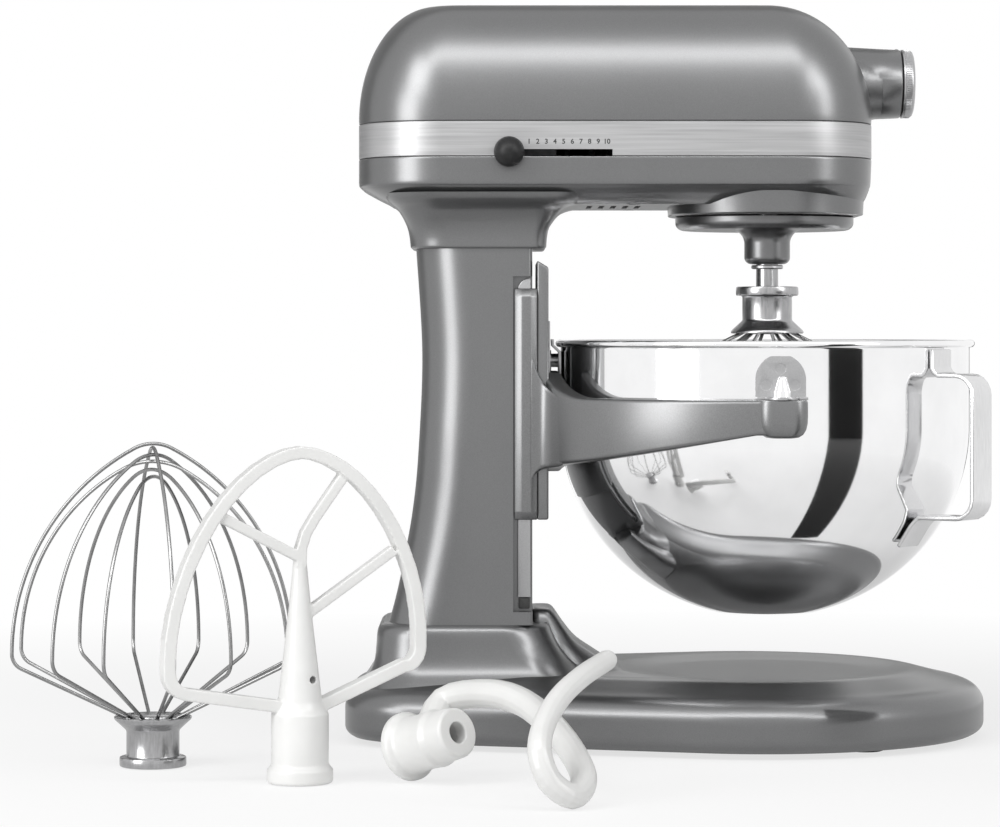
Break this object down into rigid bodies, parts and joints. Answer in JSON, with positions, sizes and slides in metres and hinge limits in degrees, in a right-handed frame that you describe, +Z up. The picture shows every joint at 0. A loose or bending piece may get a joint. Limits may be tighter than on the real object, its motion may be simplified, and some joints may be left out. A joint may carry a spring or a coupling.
{
  "type": "bowl-lift stand mixer",
  "caption": "Stand mixer with a lifting bowl: a motor in the head turns a planetary beater through gears, a side lever raises the bowl, and a hub in the nose drives attachments.",
  "frame": {"origin": "on the table under the middle of the base, at the underside of the central foot", "axes": "+Z up, +X from the column towards the nose of the head, +Y away from the side with the speed knob"},
  "size_m": [0.5437, 0.4808, 0.424],
  "materials": {
    "painted_casting": "silver metallic paint under a clear coat",
    "brushed_trim": "fine brushed lines along the band",
    "polished_steel": "mirror polish",
    "satin_steel": "satin",
    "coated_white": "smooth white coating baked on aluminium",
    "black_plastic": "gloss black",
    "rubber": "matt",
    "gear_steel": "cut and ground",
    "bronze": "machined",
    "cast_aluminium": "as cast",
    "iron_core": "varnished sheet stack",
    "board": "green solder mask"
  },
  "bodies": {
    "stand": {"base_casting": "painted_casting", "rubber_feet": "rubber", "column_casting": "painted_casting", "column_bolts": "satin_steel", "guide_rails": "satin_steel", "rail_stops": "rubber", "lower_housing": "painted_casting", "upper_housing": "painted_casting", "housing_screws": "satin_steel", "trim_band": "brushed_trim", "hub_sleeve": "satin_steel", "hub_hinge_pin": "satin_steel", "cable_gland": "black_plastic", "control_board": "board", "motor_stator": "iron_core", "motor_brackets": "cast_aluminium", "brush_holders": "bronze", "gear_bracket": "cast_aluminium", "planetary_bearing": "bronze", "ring_gear": "gear_steel"},
    "armature_body": {"armature": "iron_core", "cooling_fan": "black_plastic", "worm": "gear_steel"},
    "intermediate": {"worm_wheel": "bronze", "intermediate_shaft": "gear_steel"},
    "planetary": {"planet_carrier": "painted_casting", "centre_gear": "gear_steel", "planetary_shaft": "gear_steel"},
    "hub_drive": {"hub_shaft": "gear_steel"},
    "beater": {"beater_pinion": "gear_steel", "beater_shaft": "satin_steel", "beater_washer": "satin_steel", "whip_hub": "polished_steel", "whip_wires": "polished_steel"},
    "cap": {"hub_cap": "brushed_trim"},
    "knob": {"attachment_knob": "black_plastic"},
    "speed_lever": {"speed_arm": "satin_steel", "speed_knob": "black_plastic"},
    "carriage": {"lift_carriage": "painted_casting", "bowl_pins": "polished_steel", "bowl_latch": "satin_steel", "lift_yoke": "satin_steel"},
    "lever": {"lift_crank": "satin_steel", "lift_lever": "black_plastic"},
    "bowl": {"mixing_bowl": "polished_steel", "bowl_handle": "polished_steel", "bowl_side_brackets": "polished_steel", "bowl_rear_bracket": "polished_steel"},
    "spare_whip": {"spare_whip_hub": "polished_steel", "spare_whip_wires": "polished_steel"},
    "loose_beater": {"flat_beater": "coated_white"},
    "loose_hook": {"dough_hook": "coated_white"}
  },
  "joints": [
    {"name": "planetary_spin", "type": "hinge", "parent": "stand", "child": "planetary", "pos_m": [0.058, 0, 0.298], "axis": [0, 0, 1], "continuous": true},
    {"name": "beater_spin", "type": "hinge", "parent": "planetary", "child": "beater", "pos_m": [0.058, -0.0225, 0.29], "axis": [0, 0, 1], "continuous": true},
    {"name": "intermediate_spin", "type": "hinge", "parent": "stand", "child": "intermediate", "pos_m": [0.00796, 0.024, 0.34], "axis": [0, 0, 1], "continuous": true},
    {"name": "motor_spin", "type": "hinge", "parent": "stand", "child": "armature_body", "pos_m": [-0.09, 0, 0.352], "axis": [1, 0, 0], "continuous": true},
    {"name": "hub_spin", "type": "hinge", "parent": "stand", "child": "hub_drive", "pos_m": [0.1, 0, 0.379], "axis": [1, 0, 0], "continuous": true},
    {"name": "hub_cap_hinge", "type": "hinge", "parent": "stand", "child": "cap", "pos_m": [0.135, 0, 0.3976], "axis": [0, -1, 0], "range_deg": [0, 110]},
    {"name": "attachment_screw", "type": "hinge", "parent": "stand", "child": "knob", "pos_m": [0.1272, 0.03, 0.379], "axis": [0, 1, 0], "range_deg": [-360, 0]},
    {"name": "speed_slide", "type": "slide", "parent": "stand", "child": "speed_lever", "axis": [1, 0, 0], "range_m": [0, 0.052]},
    {"name": "carriage_lift", "type": "slide", "parent": "stand", "child": "carriage", "axis": [0, 0, 1], "range_m": [-0.032, 0]},
    {"name": "lever_turn", "type": "hinge", "parent": "stand", "child": "lever", "pos_m": [-0.1, 0.05, 0.15], "axis": [0, 1, 0], "range_deg": [-100, 0]},
    {"name": "bowl_lift_off", "type": "slide", "parent": "carriage", "child": "bowl", "axis": [0, 0, 1], "range_m": [0, 0.006]},
    {"name": "spare_whip_pick_up", "type": "slide", "parent": "stand", "child": "spare_whip", "axis": [0, 0, 1], "range_m": [0, 0.05]},
    {"name": "flat_beater_pick_up", "type": "slide", "parent": "stand", "child": "loose_beater", "axis": [0, 0, 1], "range_m": [0, 0.05]},
    {"name": "dough_hook_pick_up", "type": "slide", "parent": "stand", "child": "loose_hook", "axis": [0, 0, 1], "range_m": [0, 0.02]}
  ],
  "couplings": [
    {"joint": "beater_spin", "follows": "planetary_spin", "ratio": -2.5},
    {"joint": "intermediate_spin", "follows": "planetary_spin", "ratio": -4.2857},
    {"joint": "motor_spin", "follows": "planetary_spin", "ratio": 51.429},
    {"joint": "hub_spin", "follows": "planetary_spin", "ratio": 1},
    {"joint": "lever_turn", "follows": "carriage_lift", "rad_per_m": 54.541}
  ]
}
